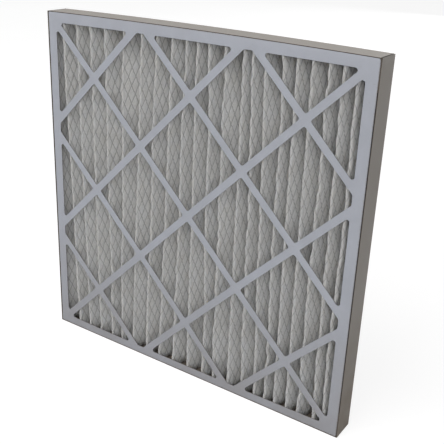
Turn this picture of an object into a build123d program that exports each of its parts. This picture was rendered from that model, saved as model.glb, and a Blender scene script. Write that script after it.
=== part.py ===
from build123d import *
from itertools import pairwise
from math import atan2, degrees
import os

# Pleated panel air filter, upright as it slides into its rack. Units are millimetres.
# X runs across the panel, Y from the front (air-entering) face to the rear face, and Z up.
# The origin is the middle of the bottom edge.

# ---- Overall size, over the outer tray ----
width = 594.0
height = 594.0
depth = 44.5

# ---- Coated board of the two trays ----
board = 0.7            # thickness
bend = 0.8             # inside radius of a fold
glue_line = 0.2        # between two layers that are glued together
inner_wall = 38.0      # how far back the front tray's walls reach
tab_length = 45.0      # tabs turned in at the ends of the rear tray's top and bottom walls
tab_relief = 1.0       # between a tab and the fold of the rear face

# ---- Die-cut lattice of both faces ----
side_border = 19.5     # from the filter's side to the openings
end_border = 17.5      # from its top or bottom to the openings
strut_width = 12.0
diamonds_across = 3    # whole diamonds in a row, and in a column
cut_radius = 3.5       # in the corners of the openings

# ---- Pleated media, and the expanded metal behind it ----
media_thickness = 2.0
grid_thickness = 0.5
fold_width = 3.8       # flat of the media's middle across a fold
front_fold_radius = 3.0    # outside the front folds, which the lattice presses on
end_lean = 5.3         # from the side of the pack to its first and last front fold
# The pleats are spread by hand before they are glued, so their gaps differ.
front_gaps = (32, 29, 29, 30, 31, 32, 30, 30, 29, 25, 28, 24, 31, 22, 22, 24, 20, 23, 23, 24, 19, 21)
mesh_opening_height = 175.0
mesh_opening_share = 0.55    # of a pleat leg's run, seen from the rear
mesh_column_counts = (1, 2)  # openings in the two legs of a pleat

# ---- Places that follow from these ----
middle = height / 2
front_face = -depth / 2
rear_face = depth / 2
fold_outside = bend + board
layer = board + glue_line

# The tabs lie behind the rear tray's side walls, so the front tray is two layers narrower on each side there.
tab_span = width - 2 * layer
inner_width = tab_span - 2 * layer
inner_height = height - 2 * layer
flat_width = inner_width - 2 * fold_outside
flat_height = inner_height - 2 * fold_outside


def wrap(section, span, reach, length):
    """Add a strip of board that is flat across the span, with a fold and a wall at each end.

    The section plane lies across the strip: its x axis runs along the span and its y axis along the walls.
    """
    side = span / 2 - board / 2
    with BuildSketch(section) as strip:
        with BuildLine():
            FilletPolyline(
                (-side, reach), (-side, board / 2), (side, board / 2), (side, reach), radius=bend + board / 2
            )
        trace(line_width=board)
    extrude(strip.sketch, amount=length / 2, both=True)


def tray(face, inward, span_x, span_z, end_length, reach):
    """Add a tray: two wraps that cross at its flat face."""
    centre = (0, face, middle)
    wrap(Plane(centre, x_dir=(1, 0, 0), z_dir=(0, 0, inward)), span_x, reach, span_z - 2 * fold_outside)
    wrap(Plane(centre, x_dir=(0, 0, 1), z_dir=(-inward, 0, 0)), span_z, reach, end_length)


def cut_lattice(face, inward):
    """Cut the diamonds, and the half diamonds along the borders, through a tray's face."""
    slant = degrees(atan2(flat_width, flat_height))
    with BuildSketch(Plane((0, face, middle), x_dir=(1, 0, 0), z_dir=(0, inward, 0))) as openings:
        Rectangle(width - 2 * side_border, height - 2 * end_border)
        for turn in (slant, -slant):
            with GridLocations(flat_width / diamonds_across, 1, 2 * diamonds_across - 1, 1):
                Rectangle(strut_width, 2 * (width + height), rotation=turn, mode=Mode.SUBTRACT)
        fillet(openings.vertices(), cut_radius)
    extrude(openings.sketch, amount=2 * board, both=True, mode=Mode.SUBTRACT)


# ---- Front frame: the inner tray ----
with BuildPart() as front_frame:
    tray(front_face, 1, inner_width, inner_height, flat_width, inner_wall)
    cut_lattice(front_face, 1)
front_frame.part.label = "front_frame"

# ---- Rear frame: the outer tray, whose walls end flush with the front face ----
with BuildPart() as rear_frame:
    tray(rear_face, -1, width, height, tab_span - 2 * fold_outside, depth)
    # The side walls run past the folds to the full height.
    with Locations((board / 2 - width / 2, front_face, 0), (width / 2 - board / 2, front_face, 0)):
        Box(board, depth - fold_outside, height, align=(Align.CENTER, Align.MIN, Align.MIN))
    tab_depth = depth - fold_outside - tab_relief
    for end, outward in ((height, 1), (0, -1)):
        tab_plane = Plane((0, front_face + tab_depth / 2, end), x_dir=(1, 0, 0), z_dir=(0, outward, 0))
        wrap(tab_plane, tab_span, tab_length, tab_depth)
    cut_lattice(rear_face, -1)
rear_frame.part.label = "rear_frame"

# ---- Folds of the pleated pack, along the middle of the media ----
pack_side = inner_width / 2 - layer
media_half = media_thickness / 2
grid_middle = media_half + glue_line + grid_thickness / 2
front_folds = front_face + layer + media_half
rear_folds = rear_face - layer - grid_middle - grid_thickness / 2

first_front = end_lean - pack_side
gap_scale = -2 * first_front / sum(front_gaps)
fronts = [first_front + gap_scale * sum(front_gaps[:count]) for count in range(len(front_gaps) + 1)]
rears = [(left + right) / 2 for left, right in pairwise(fronts)]


def pleated_sheet(shift, thickness):
    """Add a pleated sheet whose middle lies `shift` behind the media's, as tall as the front tray's flat face."""
    across = fold_width / 2
    end = pack_side - media_half
    corners = [(-end, rear_folds)]
    for front, rear in zip(fronts, rears):
        corners += [(front - across, front_folds), (front + across, front_folds)]
        corners += [(rear - across, rear_folds), (rear + across, rear_folds)]
    corners += [(fronts[-1] - across, front_folds), (fronts[-1] + across, front_folds), (end, rear_folds)]
    with BuildSketch(Plane.XY.offset(middle - flat_height / 2)) as section:
        with BuildLine():
            Polyline(*corners)
            if shift:
                offset(amount=shift, side=Side.LEFT, kind=Kind.INTERSECTION, closed=False)
        trace(line_width=thickness)
    extrude(section.sketch, amount=flat_height)


# ---- Pleated media ----
with BuildPart() as pleated_media:
    pleated_sheet(0, media_thickness)
    front_edges = pleated_media.edges().filter_by(Axis.Z).group_by(Axis.Y)[0]
    fillet(front_edges, front_fold_radius)
pleated_media.part.label = "pleated_media"

# ---- Support grid: its diamond openings are staggered from one leg to the next ----
with BuildPart() as support_grid:
    pleated_sheet(grid_middle, grid_thickness)
    with BuildSketch(Plane((0, rear_face, middle), x_dir=(1, 0, 0), z_dir=(0, 1, 0))):
        for front, *feet in zip(fronts[1:-1], rears, rears[1:]):
            for foot, count in zip(feet, mesh_column_counts):
                half_x = mesh_opening_share * (abs(front - foot) - fold_width) / 2
                half_z = mesh_opening_height / 2
                with Locations(((front + foot) / 2, 0)):
                    with GridLocations(1, flat_height / count, 1, count):
                        Polygon((half_x, 0), (0, half_z), (-half_x, 0), (0, -half_z))
    extrude(amount=-depth, mode=Mode.SUBTRACT)
support_grid.part.label = "support_grid"

# ---- One STEP file for each piece ----
os.makedirs("parts", exist_ok=True)
for piece in (front_frame, rear_frame, pleated_media, support_grid):
    export_step(piece.part, f"parts/{piece.part.label}.step")
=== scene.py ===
"""Looks of the pleated panel air filter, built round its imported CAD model.

Sizes and places are in millimetres, in the CAD model's frame: X across the panel, Y from the front face to
the rear face, Z up from the bottom edge. Meshes are written in metres.
"""
from math import atan2, cos, pi, radians, sin, tan

import bpy
import numpy as np
from mathutils import Matrix, Vector
from mathutils.geometry import delaunay_2d_cdt


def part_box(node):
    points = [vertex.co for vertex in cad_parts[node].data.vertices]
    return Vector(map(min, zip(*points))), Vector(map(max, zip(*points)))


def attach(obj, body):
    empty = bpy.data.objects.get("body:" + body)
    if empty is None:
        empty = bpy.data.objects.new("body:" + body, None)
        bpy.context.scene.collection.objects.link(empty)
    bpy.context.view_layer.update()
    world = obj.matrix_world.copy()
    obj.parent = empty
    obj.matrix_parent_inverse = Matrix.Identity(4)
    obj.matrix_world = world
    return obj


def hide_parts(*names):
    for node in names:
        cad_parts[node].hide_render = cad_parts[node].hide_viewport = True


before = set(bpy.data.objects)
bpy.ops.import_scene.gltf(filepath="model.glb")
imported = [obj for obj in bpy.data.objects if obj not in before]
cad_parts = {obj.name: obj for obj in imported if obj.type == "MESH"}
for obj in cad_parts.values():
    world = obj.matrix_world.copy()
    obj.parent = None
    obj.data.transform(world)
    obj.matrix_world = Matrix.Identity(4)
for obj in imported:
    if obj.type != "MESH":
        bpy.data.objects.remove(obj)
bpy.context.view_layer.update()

MM = 0.001

# ---- Overall size, over the outer tray ----
low, high = (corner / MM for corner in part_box("rear_frame"))
width, depth, height = (round(side, 3) for side in high - low)
front_face, rear_face = low.y, high.y
middle = (low.z + high.z) / 2

# ---- Coated board of the two trays ----
board = 0.7            # thickness
fold_outside = 1.5     # outside radius of a fold
layer = 0.9            # one thickness of board and its glue line
inner_wall = 38.0      # how far back the front tray's walls reach
tab_length = 45.0      # tabs turned in at the ends of the rear tray's top and bottom walls
tab_relief = 1.0       # between a tab and the fold of the rear face
tab_span = width - 2 * layer
inner_width = tab_span - 2 * layer
inner_height = height - 2 * layer
flat_width = inner_width - 2 * fold_outside
flat_height = inner_height - 2 * fold_outside

# ---- Die-cut lattice of both faces ----
side_border = 19.5
end_border = 17.5
strut_width = 12.0
diamonds_across = 3
cut_radius = 3.5
slant = atan2(flat_width, flat_height)

# ---- How the finished panel has settled ----
top_bulge = 3.0        # of the top wall's middle above its corners
border_sag = 3.0       # of the inner edge of the front's bottom border, in the middle
sag_reach = 60.0       # how far up the lattice follows it

# ---- Pleated media, and the expanded metal behind it ----
media_half = 1.0           # half its thickness
loft = 0.6                 # how far the pillows over the metal's diamonds stand proud of it
pinch = 1.0                # how deep the creases over its strands lie
grid_thickness = 0.5
glue_line = 0.2
fold_width = 3.0           # flat of the media's middle across a fold
fold_radius = 1.8          # along the middle of the media
crest_reach = 4.0          # along the sheet, where the media is stretched thin over a front fold
crest_thinning = 0.35      # share of its thickness that it loses there
fold_stand_off = 0.7       # between the metal and the inside of a front fold, which it is too stiff to fill
end_lean = 5.3             # from the side of the pack to its first and last front fold
front_gaps = (32, 29, 29, 30, 31, 32, 30, 30, 29, 25, 28, 24, 31, 22, 22, 24, 20, 23, 23, 24, 19, 21)
# How much further right each front fold stands at its foot than at its head.
front_leans = (0, 17, 12, 9, 6, -12, -24, -22, -24, -17, -4, 8, 0, 2, 10, 15, 8, 4, 4, 0, 7, -1, 0)
diamond_width = 12.7       # of the expanded metal, along the sheet
diamond_rows = 20          # up the sheet
diamond_height = flat_height / diamond_rows
bond_width = 1.7           # of the rhomb where four strands meet
bond_height = 4.0

# ---- Mesh steps ----
board_step = 12.0          # between the points of the board's flat parts
fold_steps = 4             # facets round a fold
corner_steps = 5           # facets round a corner of an opening
steps_per_diamond = 4      # of the media's mesh, each way


# ============================================================================ mesh helpers

def settled(points, face_only=False):
    """Points moved as the finished panel has settled: the corners of its top lie lower than its middle."""
    moved = np.array(points, dtype=float)
    x, z = moved[:, 0] / (width / 2), moved[:, 2].copy()
    moved[:, 2] -= top_bulge * x**2 * z / height
    if face_only:
        up = np.minimum(z / end_border, np.exp((end_border - z) / sag_reach))
        moved[:, 2] -= border_sag * np.clip(1 - x**2, 0, 1) * np.clip(up, 0, 1)
    return moved


def new_object(name, points, faces, materials=(), smooth=True):
    """A mesh object from points in millimetres."""
    mesh = bpy.data.meshes.new(name)
    mesh.from_pydata([tuple(MM * value for value in point) for point in points], [], faces)
    mesh.update()
    for material in materials:
        mesh.materials.append(material)
    if smooth:
        mesh.shade_smooth()
    made = bpy.data.objects.new(name, mesh)
    bpy.context.scene.collection.objects.link(made)
    return made


def thicken(thing, thickness, inner_slot, rim_slot, sharp_angle):
    """Give an outer surface its thickness, inwards, with its own finish inside and on the cut edges."""
    solid = thing.modifiers.new("thickness", "SOLIDIFY")
    solid.thickness = thickness * MM
    solid.offset = -1
    solid.use_even_offset = True
    solid.material_offset = inner_slot
    solid.material_offset_rim = rim_slot
    evaluated = thing.evaluated_get(bpy.context.evaluated_depsgraph_get())
    thickened = bpy.data.meshes.new_from_object(evaluated)
    thing.modifiers.clear()
    old = thing.data
    thing.data = thickened
    bpy.data.meshes.remove(old)
    thickened.name = thing.name
    thickened.shade_smooth()
    thickened.set_sharp_from_angle(angle=sharp_angle)


class Patchwork:
    """Points and faces gathered from several patches, with points that coincide welded."""

    def __init__(self):
        self.points, self.faces, self.known = [], [], {}

    def point(self, place):
        key = tuple(round(value, 3) for value in place)
        if key not in self.known:
            self.known[key] = len(self.points)
            self.points.append(tuple(place))
        return self.known[key]

    def face(self, places):
        corners = [self.point(place) for place in places]
        if len(set(corners)) > 2:
            self.faces.append(corners)

    def grid(self, columns, flip=False):
        """Quads over a grid of places, given as columns of equal length."""
        for left, right in zip(columns, columns[1:]):
            for below, above in zip(range(len(left)), range(1, len(left))):
                quad = [left[below], right[below], right[above], left[above]]
                self.face(quad[::-1] if flip else quad)


# ============================================================================ boards

def clipped(outline, through, outward):
    """The part of a convex outline on the inner side of a line."""
    kept = []
    for here, ahead in zip(outline, outline[1:] + outline[:1]):
        out_here, out_ahead = outward.dot(here - through), outward.dot(ahead - through)
        if out_here <= 0:
            kept.append(here)
        if out_here * out_ahead < 0:
            kept.append(here.lerp(ahead, out_here / (out_here - out_ahead)))
    return kept


def rounded(outline, radius):
    """A convex outline with its corners rounded."""
    points = []
    for before, corner, ahead in zip(outline[-1:] + outline[:-1], outline, outline[1:] + outline[:1]):
        back, on = (before - corner).normalized(), (ahead - corner).normalized()
        half = back.angle(on) / 2
        centre = corner + (back + on).normalized() * (radius / sin(half))
        start = corner + back * (radius / tan(half)) - centre
        end = corner + on * (radius / tan(half)) - centre
        for step in range(corner_steps + 1):
            points.append(centre + start.lerp(end, step / corner_steps).normalized() * radius)
    return points


def lattice_openings():
    """Outlines of the openings, about the panel's middle: the border's rectangle, cut up by the struts."""
    half_x, half_z = width / 2 - side_border, height / 2 - end_border
    border = [Vector((half_x * x, half_z * z)) for x, z in ((-1, -1), (1, -1), (1, 1), (-1, 1))]
    pitch = flat_width / diamonds_across
    openings = []
    cells = range(-diamonds_across, diamonds_across)
    for rising in cells:
        for falling in cells:
            outline = border
            for cell, lean in ((rising, 1), (falling, -1)):
                across = Vector((cos(slant), -lean * sin(slant)))
                near, far = (Vector((line * pitch, 0)) for line in (cell, cell + 1))
                if cell > -diamonds_across:
                    outline = clipped(outline, near + across * strut_width / 2, -across)
                if cell < diamonds_across - 1:
                    outline = clipped(outline, far - across * strut_width / 2, across)
            if len(outline) > 2:
                openings.append(rounded(outline, cut_radius))
    return openings


def stops(half, *extra):
    """Places along a side, evenly spaced to both ends, with any extra ones."""
    count = round(2 * half / board_step)
    places = {round(half * (2 * step / count - 1), 4) for step in range(count + 1)}
    return sorted(places | {round(place, 4) for place in extra})


def panel(patches, openings, xs, zs, place, flip):
    """Triangles over the flat face, with its openings left out."""
    rim = [(x, zs[0]) for x in xs[:-1]] + [(xs[-1], z) for z in zs[:-1]]
    rim += [(x, zs[-1]) for x in xs[:0:-1]] + [(xs[0], z) for z in zs[:0:-1]]
    loops = [[Vector(point) for point in rim]]
    for outline in openings:
        loop = []
        for here, ahead in zip(outline, outline[1:] + outline[:1]):
            count = max(1, round((ahead - here).length / board_step))
            loop += [here.lerp(ahead, step / count) for step in range(count)]
        loops.append(loop)
    points = [point for loop in loops for point in loop]
    starts = np.cumsum([0] + [len(loop) for loop in loops])
    wanted = [list(range(start, end)) for start, end in zip(starts, starts[1:])]
    inner = [Vector((x, z)) for x in xs[1:-1] for z in zs[1:-1]]
    made, _, triangles, _, _, inside = delaunay_2d_cdt(points + inner, [], wanted, 1, 1e-5)
    for triangle, owners in zip(triangles, inside):
        if owners == [0]:
            corners = triangle[::-1] if flip else triangle
            patches.face([place(made[corner].x, made[corner].y, 0, 0) for corner in corners])


def fold_profile(reach, *extra):
    """Outward and backward steps of a fold and its wall, from the edge of the flat face."""
    turns = [pi / 2 * step / fold_steps for step in range(fold_steps + 1)]
    profile = [(fold_outside * sin(turn), fold_outside * (1 - cos(turn))) for turn in turns]
    count = round(reach / board_step)
    backs = {fold_outside + (reach - fold_outside) * step / count for step in range(1, count + 1)}
    return profile + [(fold_outside, back) for back in sorted(backs | set(extra))]


def tray(name, face, inward, span_x, span_z, end_half, reach, materials, tabs=False):
    """One folded sheet of coated board: a lattice face with a wall folded back along each of its sides."""
    half_x, half_z = span_x / 2 - fold_outside, span_z / 2 - fold_outside

    def place(x, z, out_x, back):
        return (x + out_x, face + inward * back, middle + z)

    patches = Patchwork()
    xs, zs = stops(end_half, -half_x, half_x), stops(half_z)
    mirrored = inward < 0
    panel(patches, lattice_openings(), xs, zs, place, mirrored)
    relief = fold_outside + tab_relief
    profile = fold_profile(reach, relief) if tabs else fold_profile(reach)
    end_xs = [x for x in xs if abs(x) < end_half + 0.01]
    for side in (-1, 1):
        wall = [[place(side * half_x, z, side * out, back) for out, back in profile] for z in zs]
        patches.grid(wall, flip=(side > 0) != mirrored)
        end = [[place(x, side * (half_z + out), 0, back) for out, back in profile] for x in end_xs]
        patches.grid(end, flip=(side < 0) != mirrored)
        if tabs:
            side_wall_ends(patches, side, half_x, half_z, face, inward, profile, mirrored)
            for end_side in (-1, 1):
                tab(patches, side, end_side, end_half, half_z, face, inward, profile, relief, mirrored)
    made = new_object(name, settled(patches.points, face_only=not tabs), patches.faces, materials)
    thicken(made, board, 1, 2, radians(35))
    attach(made, "root")
    return made


def side_wall_ends(patches, side, half_x, half_z, face, inward, profile, mirrored):
    """Run a side wall past the folds, to the tray's full height."""
    wall = [back for out, back in profile if back >= fold_outside - 1e-6]
    for end_side in (-1, 1):
        columns = [
            [(side * (half_x + fold_outside), face + inward * back, middle + end_side * z) for back in wall]
            for z in (half_z, half_z + fold_outside)
        ]
        patches.grid(columns, flip=(side * end_side > 0) != mirrored)


def tab(patches, side, end_side, end_half, half_z, face, inward, profile, relief, mirrored):
    """Turn the end of a top or bottom wall in, behind the side wall."""
    wall = [back for out, back in profile if back >= relief - 1e-6]
    turns = [pi / 2 * step / fold_steps for step in range(fold_steps + 1)]
    run = [(fold_outside * sin(turn), fold_outside * (1 - cos(turn))) for turn in turns]
    run += [(fold_outside, fold_outside + (tab_length - fold_outside) * step / 4) for step in range(1, 5)]
    columns = []
    for out, down in run:
        x, z = side * (end_half + out), middle + end_side * (half_z + fold_outside - down)
        columns.append([(x, face + inward * back, z) for back in wall])
    patches.grid(columns, flip=(side * end_side < 0) != mirrored)


# ============================================================================ pleated pack

pack_side = inner_width / 2 - layer
grid_middle = media_half + glue_line + grid_thickness / 2
front_folds = front_face + layer + (media_half + loft) * (1 - crest_thinning) + 0.1
rear_folds = rear_face - layer - grid_middle - grid_thickness / 2
first_front = end_lean - pack_side
gap_scale = -2 * first_front / sum(front_gaps)
fronts = [first_front + gap_scale * sum(front_gaps[:count]) for count in range(len(front_gaps) + 1)]
rears = [(left + right) / 2 for left, right in zip(fronts, fronts[1:])]


def between(fronts_too, rears_too):
    """Values for the front folds and for the rear folds between them, in their order along the sheet."""
    mixed = [fronts_too[0]]
    for rear, front in zip(rears_too, fronts_too[1:]):
        mixed += [rear, front]
    return mixed


def fold_path():
    """The media's middle, seen from above: its points, and how far along it they and the folds lie."""
    across = fold_width / 2
    end = pack_side - media_half
    folds = between([(x, front_folds) for x in fronts], [(x, rear_folds) for x in rears])
    corners = [(-end, rear_folds)]
    for x, y in folds:
        corners += [(x - across, y), (x + across, y)]
    corners = [np.array(corner) for corner in corners + [(end, rear_folds)]]
    points, fold_at = [corners[0]], []
    for number, (before, corner, ahead) in enumerate(zip(corners, corners[1:], corners[2:])):
        back = (before - corner) / np.linalg.norm(before - corner)
        on = (ahead - corner) / np.linalg.norm(ahead - corner)
        half = np.arccos(np.clip(back @ on, -1, 1)) / 2
        bisector = (back + on) / np.linalg.norm(back + on)
        centre = corner + bisector * fold_radius / np.sin(half)
        start, finish = (corner + way * fold_radius / np.tan(half) - centre for way in (back, on))
        for share in np.linspace(0, 1, 7):
            spoke = start * (1 - share) + finish * share
            points.append(centre + spoke * fold_radius / np.linalg.norm(spoke))
        if number % 2 == 0:
            fold_at.append(len(points) - 0.5)
    points = np.array(points + [corners[-1]])
    run = np.concatenate([[0], np.cumsum(np.linalg.norm(np.diff(points, axis=0), axis=1))])
    return points, run, np.interp(fold_at, np.arange(len(run)), run)


path_points, path_run, fold_runs = fold_path()
sheet_length = path_run[-1]
marks = np.concatenate([[0], fold_runs, [sheet_length]])
fold_leans = [0, *between(front_leans, [(a + b) / 2 for a, b in zip(front_leans, front_leans[1:])]), 0]


def stations():
    """Distances along the sheet for the mesh's columns, and each one's count of diamonds from its start."""
    step = diamond_width / steps_per_diamond
    runs, counts, count = [0.0], [0.0], 0
    for start, end in zip(marks, marks[1:]):
        steps = max(1, round((end - start) / step))
        shares = set(np.arange(steps + 1) / steps) | {0.5 / steps, 1 - 0.5 / steps}
        for share in sorted(shares)[1:]:
            runs.append(start + (end - start) * share)
            counts.append((count + steps * share) / steps_per_diamond)
        count += steps
    return np.array(runs), np.array(counts)


def along_path(runs):
    """Places on the media's middle, and the ways that its front side faces there."""
    places = np.stack([np.interp(runs, path_run, path_points[:, axis]) for axis in (0, 1)], 1)
    ahead, behind = (np.stack([np.interp(runs + step, path_run, path_points[:, axis]) for axis in (0, 1)], 1)
                     for step in (0.8, -0.8))
    way = ahead - behind
    way /= np.linalg.norm(way, axis=1)[:, None]
    return places, np.stack([way[:, 1], -way[:, 0]], 1)


def fold_strays():
    """Waves of each fold's stray across the panel: their counts over the height, sizes and phases."""
    draw = np.random.default_rng(7)
    stray_waves = ((0.6, 0.9), (1.7, 0.7), (4.1, 0.4), (9.0, 0.35), (20.0, 0.6))
    strays = []
    for _ in fold_runs:
        strays.append([(waves * (0.8 + 0.4 * draw.random()), size * draw.normal(), draw.random())
                       for waves, size in stray_waves])
    return [[]] + strays + [[]]


def wander(runs, heights):
    """How far points of the sheet have strayed across the panel, since the pleats were spread by hand.

    Runs and heights are arrays that fit each other.
    """
    runs, heights = np.broadcast_arrays(runs, heights)
    spread = np.interp(runs, marks, np.arange(len(marks)))
    stray = np.interp(runs, marks, fold_leans) * (middle - heights) / height
    for number, waves in enumerate(fold_strays()):
        weight = np.clip((1 - np.abs(spread - number) - 0.07) / 0.86, 0, 1)
        near = weight > 0
        for count, size, phase in waves:
            stray[near] += weight[near] * size * np.sin(2 * pi * (count * heights[near] / height + phase))
    return stray


def over_front_folds(runs):
    """1 on top of a front fold, falling to 0 along its legs."""
    nearest = np.abs(runs[:, None] - fold_runs[None, ::2]).min(1)
    return np.exp(-((nearest / crest_reach) ** 2))


def pillow(across, up):
    """Height of the pillows between the strands, from 0 on a crease to 1 in the middle of a diamond."""
    first, second = across + up, across - up
    first, second = first - np.floor(first), second - np.floor(second)
    return (16 * first * (1 - first) * second * (1 - second)) ** 0.5


def surface(runs, heights, shift):
    """Points of a sheet that lies `shift` in front of the media's middle, by column and row."""
    places, facing = along_path(runs)
    x = places[:, :1] + facing[:, :1] * shift + wander(runs[:, None], heights[None, :])
    y = np.broadcast_to(places[:, 1:] + facing[:, 1:] * shift, x.shape)
    z = np.broadcast_to(heights[None, :], x.shape)
    return np.stack([x, y, z], 2)


def quad_indices(columns, rows, first=0):
    """Corners of the quads between points numbered by column, then row."""
    left = (np.arange(columns - 1)[:, None] * rows + np.arange(rows - 1)[None, :]).ravel() + first
    return np.stack([left, left + rows, left + rows + 1, left + 1], 1)


def media_faces(columns, rows, back_rows):
    """Faces of a sheet with a front grid, a back grid of half its rows, and a rim between them."""
    first_back = columns * rows
    faces = quad_indices(columns, rows).tolist()
    faces += quad_indices(columns, back_rows, first_back)[:, ::-1].tolist()
    for column in range(columns - 1):
        for row, back_row, turned in ((0, 0, False), (rows - 1, back_rows - 1, True)):
            here, ahead = column * rows + row, (column + 1) * rows + row
            back_here = first_back + column * back_rows + back_row
            rim = [here, back_here, back_here + back_rows, ahead]
            faces.append(rim[::-1] if turned else rim)
    for column, turned in ((0, False), (columns - 1, True)):
        for back_row in range(back_rows - 1):
            here = column * rows + 2 * back_row
            back_here = first_back + column * back_rows + back_row
            rim = [here, back_here, back_here + 1, here + 2, here + 1]
            faces.append(rim if turned else rim[::-1])
    return faces


def make_media(material):
    """One sheet with a pillowed front, pinched over the metal's strands, and a plain back."""
    runs, counts = stations()
    rows = diamond_rows * steps_per_diamond + 1
    ups = diamond_rows * np.linspace(0, 1, rows)
    heights = middle + flat_height * (ups / diamond_rows - 0.5)
    puff = pillow(counts[:, None], ups[None, :])
    lumps = np.minimum(np.random.default_rng(11).normal(0, 0.12, puff.shape), 0.1)
    fullness = (1 - crest_thinning * over_front_folds(runs))[:, None]
    front_side = surface(runs, heights, (media_half + loft * puff - pinch * (1 - puff) + lumps) * fullness)
    back_side = surface(runs, heights[::2], -media_half)
    # The first and last legs are pressed flat against the inner tray's walls.
    for side in (front_side, back_side):
        side[:, :, 0] = np.clip(side[:, :, 0], -pack_side, pack_side)
    points = np.concatenate([front_side.reshape(-1, 3), back_side.reshape(-1, 3)])
    faces = media_faces(len(runs), rows, len(heights[::2]))
    made = new_object("filter_media", settled(points), faces, [material])
    flat_front = np.stack([*np.broadcast_arrays(counts[:, None], ups[None, :]), np.ones_like(puff)], 2)
    flat_back = flat_front[:, ::2] * (1, 1, 0)
    values = np.concatenate([flat_front.reshape(-1, 3), flat_back.reshape(-1, 3)])
    place = made.data.attributes.new("flat_place", "FLOAT_VECTOR", "POINT")
    place.data.foreach_set("vector", values.astype(np.float32).ravel())
    return made


def cut_across(outline, edges):
    """A convex outline cut up at the upright lines that cross it."""
    parts = []
    for edge in edges:
        reach = [point.x for point in outline]
        if outline and min(reach) < edge - 1e-4 and max(reach) > edge + 1e-4:
            parts.append(clipped(outline, Vector((edge, 0)), Vector((1, 0))))
            outline = clipped(outline, Vector((edge, 0)), Vector((-1, 0)))
    return [part for part in parts + [outline] if len(part) > 2]


def metal_net():
    """The expanded metal laid flat: rhombs at its bonds and strands between them, cut at every fold.

    Places are in diamonds, along the sheet and up it. Returns the points and the faces.
    """
    runs, counts = stations()
    fold_sides = (-fold_width / 2, fold_width / 2)
    fold_edges = [np.interp(run + side, runs, counts) for run in fold_runs for side in fold_sides]
    sides = [((0, 0), (-1, 0)), ((counts[-1], 0), (1, 0)), ((0, 0), (0, -1)), ((0, diamond_rows), (0, 1))]
    bond_x, bond_z = bond_width / 2 / diamond_width, bond_height / 2 / diamond_height
    net = Patchwork()
    for column in range(int(2 * counts[-1]) + 2):
        for row in range(column % 2, 2 * diamond_rows + 1, 2):
            x, z = column / 2, row / 2
            shapes = [[(x + bond_x, z), (x, z + bond_z), (x - bond_x, z), (x, z - bond_z)]]
            for rise in (1, -1):
                ahead_x, ahead_z = x + 0.5, z + rise * 0.5
                strand = [(x + bond_x, z), (ahead_x, ahead_z - rise * bond_z)]
                strand += [(ahead_x - bond_x, ahead_z), (x, z + rise * bond_z)]
                shapes.append(strand[::rise])
            for shape in shapes:
                outline = [Vector(point) for point in shape]
                for through, outward in sides:
                    outline = clipped(outline, Vector(through), Vector(outward)) if outline else outline
                for part in cut_across(outline, fold_edges):
                    net.face([(point.x, point.y) for point in part])
    return np.array(net.points), net.faces


def make_grid(material):
    """The expanded metal, folded with the media and a glue line behind it."""
    flat, faces = metal_net()
    runs, counts = stations()
    at = np.interp(flat[:, 0], counts, runs)
    heights = middle + flat_height * (flat[:, 1] / diamond_rows - 0.5)
    places, facing = along_path(at)
    places = places - facing * (grid_middle - grid_thickness / 2)
    places[:, 1] += fold_stand_off * over_front_folds(at)
    points = np.stack([places[:, 0] + wander(at, heights), places[:, 1], heights], 1)
    made = new_object("expanded_metal", settled(points), faces, [material])
    thicken(made, grid_thickness, 0, 0, radians(30))
    return made


# ============================================================================ node helpers

def link(tree, value, socket):
    """Feed a socket from another, or set it to a plain value."""
    if isinstance(value, bpy.types.NodeSocket):
        tree.links.new(value, socket)
    elif isinstance(value, tuple) and socket.type == "RGBA":
        socket.default_value = (*value, 1)
    else:
        socket.default_value = value


def node(tree, kind, inputs=None, **settings):
    """Add a node. Its inputs are sockets or plain values, by name or by number."""
    made = tree.nodes.new("ShaderNode" + kind)
    for name, value in settings.items():
        setattr(made, name, value)
    for name, value in (inputs or {}).items():
        link(tree, value, made.inputs[name])
    return made


def maths(tree, operation, *values):
    return node(tree, "Math", dict(enumerate(values)), operation=operation).outputs[0]


def ramped(tree, value, start, end, low=0.0, high=1.0):
    """A value that goes smoothly from low to high as another goes from start to end."""
    inputs = {"Value": value, "From Min": start, "From Max": end, "To Min": low, "To Max": high}
    return node(tree, "MapRange", inputs, interpolation_type="SMOOTHSTEP").outputs["Result"]


def blended(tree, share, first, second):
    """A colour that goes from the first to the second as the share goes from 0 to 1."""
    return node(tree, "Mix", {0: share, 6: first, 7: second}, data_type="RGBA").outputs[2]


def noise(tree, place, scale, detail=2.0, roughness=0.5):
    inputs = {"Vector": place, "Scale": scale, "Detail": detail, "Roughness": roughness}
    return node(tree, "TexNoise", inputs).outputs["Fac"]


def new_group(name, inputs, outputs):
    """A shader node group: its tree, and its inputs and outputs by name. An input of None is a vector."""
    tree = bpy.data.node_groups.new(name, "ShaderNodeTree")
    for label, value in inputs.items():
        kind = "NodeSocketVector" if value is None else "NodeSocketFloat"
        socket = tree.interface.new_socket(label, in_out="INPUT", socket_type=kind)
        if value is not None:
            socket.default_value = value
    for label in outputs:
        tree.interface.new_socket(label, in_out="OUTPUT", socket_type="NodeSocketFloat")
    return tree, tree.nodes.new("NodeGroupInput").outputs, tree.nodes.new("NodeGroupOutput").inputs


def placed(tree, group, inputs):
    """Place a group in a material, and return its first output."""
    made = tree.nodes.new("ShaderNodeGroup")
    made.node_tree = group
    for name, value in inputs.items():
        link(tree, value, made.inputs[name])
    return made.outputs[0]


# ============================================================================ shared effects

def make_mottle():
    """Soft uneven patches, from 0 to 1."""
    tree, given, result = new_group("mottle", {"Place": None, "Cell in mm": 20.0}, ["Patches"])
    scale = maths(tree, "DIVIDE", 1 / MM, given["Cell in mm"])
    link(tree, ramped(tree, noise(tree, given["Place"], scale, 3.0, 0.55), 0.3, 0.7), result["Patches"])
    return tree


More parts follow.
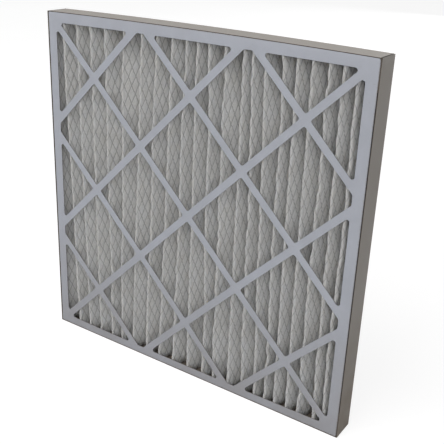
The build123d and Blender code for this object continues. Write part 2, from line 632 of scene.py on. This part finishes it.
def make_fibres():
    """Short fibres that lie across each other, from 0 to 1."""
    inputs = {"Place": None, "Width in mm": 0.3, "Slenderness": 10.0}
    tree, given, result = new_group("fibres", inputs, ["Fibres"])
    bend = node(tree, "TexNoise", {"Vector": given["Place"], "Scale": 150.0, "Detail": 1.0}).outputs["Color"]
    bend = node(tree, "VectorMath", {0: bend, "Scale": 0.0015}, operation="SCALE").outputs[0]
    bent = node(tree, "VectorMath", {0: given["Place"], 1: bend}, operation="ADD").outputs[0]
    scale = maths(tree, "DIVIDE", 1 / MM, given["Width in mm"])
    squeeze = maths(tree, "DIVIDE", 1.0, given["Slenderness"])
    drawn = node(tree, "CombineXYZ", {0: squeeze, 1: 1.0, 2: 1.0}).outputs[0]
    layers = []
    for turn in ((0, 0.35, 0.2), (0, 1.4, 0.5), (0.2, -0.75, -0.3)):
        rotation = {"Vector": bent, "Rotation": turn}
        turned = node(tree, "VectorRotate", rotation, rotation_type="EULER_XYZ").outputs[0]
        along = node(tree, "VectorMath", {0: turned, 1: drawn}, operation="MULTIPLY").outputs[0]
        layers.append(noise(tree, along, scale, 1.0))
    strongest = maths(tree, "MAXIMUM", maths(tree, "MAXIMUM", layers[0], layers[1]), layers[2])
    link(tree, ramped(tree, strongest, 0.45, 0.75), result["Fibres"])
    return tree


def make_specks():
    """Sparse small marks, 1 on a mark: the larger the share, the more there are."""
    tree, given, result = new_group("specks", {"Place": None, "Cell in mm": 3.0, "Share": 0.1}, ["Specks"])
    scale = maths(tree, "DIVIDE", 1 / MM, given["Cell in mm"])
    start = maths(tree, "SUBTRACT", 0.72, maths(tree, "MULTIPLY", given["Share"], 0.5))
    spots = noise(tree, given["Place"], scale, 4.0, 0.6)
    link(tree, ramped(tree, spots, start, maths(tree, "ADD", start, 0.06)), result["Specks"])
    return tree


def make_foot_darkening():
    """How much darker a surface is towards the foot of the panel, in patches; painted shade on the coated
    board.
    """
    tree, given, result = new_group("foot_darkening", {"Place": None, "Foot in mm": 150.0, "Least": 0.1}, ["Soil"])
    height_in_mm = maths(tree, "DIVIDE", node(tree, "SeparateXYZ", {0: given["Place"]}).outputs["Z"], MM)
    foot = ramped(tree, height_in_mm, given["Foot in mm"], 0.0, given["Least"], 1.0)
    patches = ramped(tree, noise(tree, given["Place"], 14.0, 4.0, 0.6), 0.25, 0.75, 0.45, 1.0)
    link(tree, maths(tree, "MULTIPLY", foot, patches), result["Soil"])
    return tree


def make_fold_rub_and_shade():
    """Where a tray's folds have been rubbed, and where shade is painted along them: 1 along the folds round
    its face, broken up by fine noise.
    """
    inputs = {"Place": None, "Half Width": 0.297, "Foot": 0.0, "Head": 0.594, "Face": 0.0, "Reach in mm": 2.5}
    tree, given, result = new_group("fold_rub_and_shade", inputs, ["Rub"])
    place = node(tree, "SeparateXYZ", {0: given["Place"]}).outputs
    from_side = maths(tree, "SUBTRACT", given["Half Width"], maths(tree, "ABSOLUTE", place["X"]))
    from_foot = maths(tree, "SUBTRACT", place["Z"], given["Foot"])
    from_head = maths(tree, "SUBTRACT", given["Head"], place["Z"])
    from_wall = maths(tree, "MINIMUM", from_side, maths(tree, "MINIMUM", from_foot, from_head))
    from_face = maths(tree, "ABSOLUTE", maths(tree, "SUBTRACT", place["Y"], given["Face"]))
    in_mm = maths(tree, "DIVIDE", maths(tree, "MAXIMUM", from_wall, from_face), MM)
    near = maths(tree, "SUBTRACT", 1.0, ramped(tree, in_mm, 0.2, given["Reach in mm"]))
    broken = ramped(tree, noise(tree, given["Place"], 400.0, 4.0, 0.7), 0.42, 0.6)
    link(tree, maths(tree, "MULTIPLY", near, broken), result["Rub"])
    return tree


mottle = make_mottle()
fibres = make_fibres()
specks = make_specks()
foot_darkening = make_foot_darkening()
fold_rub_and_shade = make_fold_rub_and_shade()


# ============================================================================ finishes

def new_material(name, **settings):
    """A material, its node tree, its shader's inputs, and the place of each point in its object's axes."""
    material = bpy.data.materials.new(name)
    material.use_nodes = True
    tree = material.node_tree
    shader = tree.nodes["Principled BSDF"]
    for label, value in settings.items():
        shader.inputs[label.replace("_", " ")].default_value = value
    return material, tree, shader.inputs, tree.nodes.new("ShaderNodeTexCoord").outputs["Object"]


def relief(tree, shader, height, depth_in_mm):
    """Raise the surface where the height is 1."""
    inputs = {"Height": height, "Distance": depth_in_mm * MM, "Strength": 1.0}
    link(tree, node(tree, "Bump", inputs).outputs[0], shader["Normal"])


def painted_shade_behind_front_fold(tree, place):
    """How dark the painted shade on the front tray's walls is, from just behind its folds, where they go into
    the joint.
    """
    behind = maths(tree, "SUBTRACT", node(tree, "SeparateXYZ", {0: place}).outputs["Y"], front_face * MM)
    return ramped(tree, behind, 0.35 * MM, 1.1 * MM, 0.0, painted_joint_shade_darkness)


def painted_shade_on_end_folds(tree, place):
    """How dark the painted shade is on the ends of the rear tray's top and bottom walls, where they fold in
    at a side wall.
    """
    place_in_mm = node(tree, "VectorMath", {0: place, "Scale": 1 / MM}, operation="SCALE").outputs[0]
    across, _, up = node(tree, "SeparateXYZ", {0: place_in_mm}).outputs
    off_middle = maths(tree, "ABSOLUTE", maths(tree, "SUBTRACT", up, middle))
    corner = middle - top_bulge
    at_end = ramped(tree, off_middle, corner - 2.0, corner - 1.0, 0.0, painted_joint_shade_darkness)
    off_axis = maths(tree, "ABSOLUTE", across)
    on_fold = ramped(tree, off_axis, tab_span / 2 - 2.6, tab_span / 2 - 1.4)
    not_on_side = ramped(tree, off_axis, tab_span / 2 + 0.05, tab_span / 2 + 0.15, 1.0, 0.0)
    return maths(tree, "MULTIPLY", at_end, maths(tree, "MULTIPLY", on_fold, not_on_side))


def coated_board(name, colour, half_width, foot, head, face, foot_shade_share, rub_and_shade_colour, joint):
    """Clay coated board: a smooth, slightly uneven coat, rubbed along the folds, with painted shade there on
    the rear tray, and painted shade at the foot.

    The joint is a function that gives how dark the painted shade in the joint between the trays is.
    """
    material, tree, shader, place = new_material(name, Specular_IOR_Level=0.3)
    patches = placed(tree, mottle, {"Place": place, "Cell in mm": 35.0})
    grain = placed(tree, fibres, {"Place": place, "Width in mm": 0.5, "Slenderness": 14.0})
    marks = placed(tree, specks, {"Place": place, "Cell in mm": 5.0, "Share": 0.1})
    darker_to_foot = placed(tree, foot_darkening, {"Place": place, "Foot in mm": 260.0, "Least": 0.05})
    edges = {"Half Width": half_width * MM, "Foot": foot * MM, "Head": head * MM, "Face": face * MM}
    rub_and_shade = placed(tree, fold_rub_and_shade, {"Place": place, **edges, "Reach in mm": 2.5})
    lighter, darker = (tuple(share * value for value in colour) for share in (1.04, 0.96))
    coat = blended(tree, patches, darker, lighter)
    coat = blended(tree, maths(tree, "MULTIPLY", grain, 0.35), coat, tuple(0.9 * value for value in colour))
    coat = blended(tree, maths(tree, "MULTIPLY", marks, 0.25), coat, speck_colour)
    # Rubbed folds; their dark colour on the rear tray also paints shade along them.
    coat = blended(tree, maths(tree, "MULTIPLY", rub_and_shade, 0.55), coat, rub_and_shade_colour)
    # Painted shade, darker and browner towards the foot of the panel.
    coat = blended(tree, maths(tree, "MULTIPLY", darker_to_foot, foot_shade_share), coat, painted_foot_shade_colour)
    # Painted shade, close to black, in the joint between the trays.
    painted_joint_shade = joint(tree, place)
    coat = blended(tree, painted_joint_shade, coat, painted_joint_shade_colour)
    link(tree, coat, shader["Base Color"])
    rough = maths(tree, "ADD", maths(tree, "MULTIPLY", patches, 0.08), 0.5)
    rough = maths(tree, "ADD", rough, maths(tree, "MULTIPLY", darker_to_foot, 0.15))
    link(tree, maths(tree, "MAXIMUM", rough, painted_joint_shade), shader["Roughness"])
    relief(tree, shader, maths(tree, "ADD", grain, maths(tree, "MULTIPLY", patches, 2.0)), 0.03)
    return material


def bare_board(name, colour, fibre_width, contrast):
    """Uncoated grey board, inside the trays and along their cut edges."""
    material, tree, shader, place = new_material(name)
    grain = placed(tree, fibres, {"Place": place, "Width in mm": fibre_width, "Slenderness": 12.0})
    patches = placed(tree, mottle, {"Place": place, "Cell in mm": 12.0})
    marks = placed(tree, specks, {"Place": place, "Cell in mm": 1.6, "Share": 0.25})
    darker_to_foot = placed(tree, foot_darkening, {"Place": place, "Foot in mm": 60.0, "Least": 0.15})
    lighter, darker = (tuple(share * value for value in colour) for share in (1 + contrast, 1 - contrast))
    bare = blended(tree, grain, darker, lighter)
    bare = blended(tree, maths(tree, "MULTIPLY", patches, 0.3), bare, colour)
    bare = blended(tree, maths(tree, "MULTIPLY", marks, 0.4), bare, tuple(0.5 * value for value in colour))
    bare = blended(tree, maths(tree, "MULTIPLY", darker_to_foot, 0.5), bare, (0.05, 0.04, 0.035))
    link(tree, bare, shader["Base Color"])
    link(tree, ramped(tree, grain, 0.0, 1.0, 0.82, 0.95), shader["Roughness"])
    relief(tree, shader, grain, 0.06)
    return material


def lofted_media():
    """Lofted polyester and cotton, with its fibres, the creases over the metal's strands, and painted shade
    in creases and valleys.
    """
    material, tree, shader, place = new_material("lofted_media")
    flat_place = node(tree, "Attribute", attribute_name="flat_place").outputs["Vector"]
    flat = node(tree, "SeparateXYZ", {0: flat_place}).outputs
    rising = maths(tree, "ADD", flat["X"], flat["Y"])
    falling = maths(tree, "SUBTRACT", flat["X"], flat["Y"])
    nearest = maths(tree, "MINIMUM", *(maths(tree, "PINGPONG", line, 0.5) for line in (rising, falling)))
    between_strands = ramped(tree, nearest, 0.01, 0.09)
    diamond_steps = {0: maths(tree, "FLOOR", rising), 1: maths(tree, "FLOOR", falling)}
    diamond = node(tree, "CombineXYZ", diamond_steps).outputs[0]
    tone = node(tree, "TexWhiteNoise", {"Vector": diamond}, noise_dimensions="3D").outputs["Value"]
    loose = placed(tree, fibres, {"Place": place, "Width in mm": 0.45, "Slenderness": 9.0})
    patches = placed(tree, mottle, {"Place": place, "Cell in mm": 45.0})
    tufts = placed(tree, mottle, {"Place": place, "Cell in mm": 3.5})
    marks = placed(tree, specks, {"Place": place, "Cell in mm": 2.2, "Share": 0.12})
    darker_to_foot = placed(tree, foot_darkening, {"Place": place, "Foot in mm": 22.0, "Least": 0.0})
    behind = maths(tree, "DIVIDE", node(tree, "SeparateXYZ", {0: place}).outputs["Y"], MM)
    # Painted shade on the front folds and painted light on the legs: the crests get a far darker colour than
    # the legs.
    off_crest = ramped(tree, behind, front_face + 0.5, front_face + 5.0)
    in_valley = ramped(tree, behind, 2.0, rear_face - 3.0)
    colour = blended(tree, off_crest, media_crest, media_leg)
    duller_leg = tuple(0.85 * value for value in media_leg)
    colour = blended(tree, maths(tree, "MULTIPLY", tone, 0.25), colour, duller_leg)
    colour = blended(tree, maths(tree, "MULTIPLY", patches, 0.25), colour, (0.55, 0.53, 0.49))
    colour = blended(tree, maths(tree, "MULTIPLY", tufts, 0.22), colour, (0.40, 0.40, 0.39))
    colour = blended(tree, maths(tree, "MULTIPLY", loose, 0.22), colour, (0.74, 0.74, 0.73))
    colour = blended(tree, maths(tree, "MULTIPLY", marks, 0.25), colour, (0.24, 0.21, 0.18))
    # Painted shade in the creases over the metal's strands.
    colour = blended(tree, ramped(tree, between_strands, 0.0, 1.0, 0.52, 0.0), colour, (0.20, 0.195, 0.19))
    # Painted shade, warm and darker, deeper in the valleys.
    colour = blended(tree, maths(tree, "MULTIPLY", in_valley, 0.12), colour, (0.30, 0.26, 0.21))
    # Much darker deep in the valleys towards the foot of the panel.
    darker_deep_at_foot = maths(tree, "MULTIPLY", maths(tree, "MULTIPLY", darker_to_foot, in_valley), 0.9)
    colour = blended(tree, darker_deep_at_foot, colour, (0.05, 0.04, 0.03))
    link(tree, colour, shader["Base Color"])
    link(tree, ramped(tree, loose, 0.0, 1.0, 0.8, 0.95), shader["Roughness"])
    shader["Subsurface Weight"].default_value = media_glow
    shader["Subsurface Radius"].default_value = (1.0, 0.95, 0.85)
    shader["Subsurface Scale"].default_value = media_glow_reach * MM
    shader["Specular IOR Level"].default_value = 0.2
    shader["Sheen Weight"].default_value = 0.1
    raised = maths(tree, "ADD", maths(tree, "MULTIPLY", between_strands, 2.5), loose)
    relief(tree, shader, maths(tree, "ADD", raised, tufts), 0.18)
    return material


def galvanised_metal():
    """Expanded steel, hot dip galvanised: dull zinc with its crystals and some white bloom."""
    material, tree, shader, place = new_material("galvanised_metal")
    crystals = node(tree, "TexVoronoi", {"Vector": place, "Scale": 260.0}).outputs["Color"]
    crystal = node(tree, "SeparateXYZ", {0: crystals}).outputs["X"]
    bloom = placed(tree, mottle, {"Place": place, "Cell in mm": 9.0})
    marks = placed(tree, specks, {"Place": place, "Cell in mm": 1.5, "Share": 0.3})
    darker_to_foot = placed(tree, foot_darkening, {"Place": place, "Foot in mm": 80.0, "Least": 0.1})
    zinc = blended(tree, crystal, (0.42, 0.44, 0.46), (0.60, 0.61, 0.62))
    zinc = blended(tree, maths(tree, "MULTIPLY", bloom, 0.35), zinc, (0.50, 0.51, 0.52))
    zinc = blended(tree, maths(tree, "MULTIPLY", marks, 0.4), zinc, (0.25, 0.25, 0.25))
    zinc = blended(tree, maths(tree, "MULTIPLY", darker_to_foot, 0.4), zinc, (0.20, 0.17, 0.14))
    link(tree, zinc, shader["Base Color"])
    link(tree, ramped(tree, bloom, 0.0, 1.0, 0.9, 0.6), shader["Metallic"])
    link(tree, ramped(tree, crystal, 0.0, 1.0, 0.35, 0.5), shader["Roughness"])
    relief(tree, shader, marks, 0.04)
    return material


def pale_floor():
    """A plain pale floor, which the camera and reflections see as white, with the object's shadow on it."""
    material, tree, shader, place = new_material("pale_floor", Roughness=0.9)
    cloudy = placed(tree, mottle, {"Place": place, "Cell in mm": 900.0})
    seen = seen_directly(tree)
    as_seen = blended(tree, cloudy, (0.24, 0.24, 0.24), (0.26, 0.26, 0.26))
    link(tree, blended(tree, seen, (floor_bounce, floor_bounce, floor_bounce), as_seen), shader["Base Color"])
    shader["Specular IOR Level"].default_value = 0.0
    shader["Emission Color"].default_value = (1, 1, 1, 1)
    link(tree, maths(tree, "MULTIPLY", seen, floor_glow), shader["Emission Strength"])
    return material


def seen_directly(tree):
    """1 for what the camera, a reflection or a clear material sees, and 0 for what lights other surfaces."""
    path = node(tree, "LightPath").outputs
    seen = maths(tree, "MAXIMUM", path["Is Camera Ray"], path["Is Glossy Ray"])
    return maths(tree, "MAXIMUM", seen, path["Is Transmission Ray"])


# ============================================================================ the filter

# Both trays are one board stock: the front coat's bluish tint and the rear coat's warmer, darker tone are
# painted light and shade.
front_coat_colour = (0.385, 0.400, 0.445)
rear_coat_colour = (0.305, 0.28, 0.254)
front_rub_colour = (0.30, 0.27, 0.24)
# Darker than wear alone: it also paints the shade along the rear tray's folds.
rear_rub_and_shade_colour = (0.12, 0.10, 0.08)
speck_colour = (0.26, 0.24, 0.22)
# Painted shade towards the foot of the panel, on both coats.
painted_foot_shade_colour = (0.17, 0.135, 0.10)
front_foot_shade_share = 0.4
rear_foot_shade_share = 0.75
# Painted shade in the joint between the trays and at the ends of the rear tray's folds.
painted_joint_shade_colour = (0.015, 0.013, 0.012)
painted_joint_shade_darkness = 0.92
inside_colour = (0.15, 0.125, 0.10)
# Brown cut edges of the board, darkened further to paint the shade in the gap between the trays.
cut_edge_colour = (0.11, 0.09, 0.07)
# Painted shade on the media's crests and painted light on its legs, which even out how the pleats are lit.
media_crest = (0.36, 0.36, 0.365)
media_leg = (0.80, 0.80, 0.80)
media_glow = 0.6           # share of the light that goes through the loft before it leaves
media_glow_reach = 3.0

inside_board = bare_board("bare_board", inside_colour, 0.6, 0.22)
cut_edge = bare_board("cut_board_edge", cut_edge_colour, 0.25, 0.30)
front_coat = coated_board(
    "front_coat", front_coat_colour, inner_width / 2, layer, height - layer, front_face,
    front_foot_shade_share, front_rub_colour, painted_shade_behind_front_fold,
)
rear_coat = coated_board(
    "rear_coat", rear_coat_colour, width / 2, 0, height, rear_face,
    rear_foot_shade_share, rear_rub_and_shade_colour, painted_shade_on_end_folds,
)

front = tray("front_frame_board", front_face, 1, inner_width, inner_height, flat_width / 2, inner_wall,
             (front_coat, inside_board, cut_edge))
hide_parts("front_frame")

rear = tray("rear_frame_board", rear_face, -1, width, height, tab_span / 2 - fold_outside, depth,
            (rear_coat, inside_board, cut_edge), tabs=True)
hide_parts("rear_frame")

media = make_media(lofted_media())
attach(media, "root")
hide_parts("pleated_media")

metal = make_grid(galvanised_metal())
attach(metal, "root")
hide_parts("support_grid")


# ============================================================================ floor, light and camera

floor_half = 9000
floor_level = -0.5
floor_glow = 0.85          # of the floor as it is seen
floor_bounce = 0.7         # colour of the floor where it lights the object
studio_light = 0.15        # of the world on the object, where 1 is white

corners = [(floor_half * x, floor_half * y, floor_level) for x, y in ((-1, -1), (1, -1), (1, 1), (-1, 1))]
floor = new_object("floor", corners, [(0, 1, 2, 3)], [pale_floor()])


def make_world():
    """An even pale studio all round, which the camera and reflections see as white."""
    world = bpy.data.worlds.new("studio")
    world.use_nodes = True
    tree = world.node_tree
    background = tree.nodes["Background"].inputs
    background["Color"].default_value = (1, 1, 1, 1)
    strength = node(tree, "Mix", {0: seen_directly(tree), 2: studio_light, 3: 1.0}, data_type="FLOAT")
    link(tree, strength.outputs[0], background["Strength"])
    return world


bpy.context.scene.world = make_world()


def soft_lamp(name, place, aim, side_length, power):
    """A square lamp that faces a place."""
    data = bpy.data.lights.new(name, "AREA")
    data.shape = "SQUARE"
    data.size = side_length * MM
    data.energy = power
    lamp = bpy.data.objects.new(name, data)
    bpy.context.scene.collection.objects.link(lamp)
    lamp.location = Vector(place) * MM
    lamp.rotation_mode = "QUATERNION"
    lamp.rotation_quaternion = (Vector(aim) - Vector(place)).to_track_quat("-Z", "Y")
    return lamp


panel_middle = (0, 0, 300)
soft_lamp("key_lamp", (-1750, -4800, 6500), panel_middle, 6000, 530)
soft_lamp("fill_lamp", (2800, -4000, 2900), panel_middle, 3200, 50)
soft_lamp("back_lamp", (0, 5400, 800), panel_middle, 2400, 120)

# The camera stands to the right of the panel and above it, and looks down at it.
image_side = 444
focal_px = 744.1
centre_px = (212.2, 215.7)
eye = Vector((646.8, -903.0 + front_face, 757.1))
sight = Vector((-0.5109, 0.7707, -0.3808))
rightward = Vector((0.8250, 0.5641, 0.0349))


def make_camera():
    data = bpy.data.cameras.new("camera")
    data.sensor_width = 36
    data.lens = focal_px / image_side * data.sensor_width
    data.shift_x = (image_side / 2 - centre_px[0]) / image_side
    data.shift_y = (centre_px[1] - image_side / 2) / image_side
    data.clip_end = 100
    camera = bpy.data.objects.new("camera", data)
    bpy.context.scene.collection.objects.link(camera)
    back = -sight.normalized()
    side = (rightward - rightward.project(back)).normalized()
    up = back.cross(side)
    camera.matrix_world = Matrix.Translation(eye * MM) @ Matrix((side, up, back)).transposed().to_4x4()
    return camera


camera = make_camera()
bpy.context.scene.camera = camera
bpy.context.scene.view_settings.view_transform = "Standard"
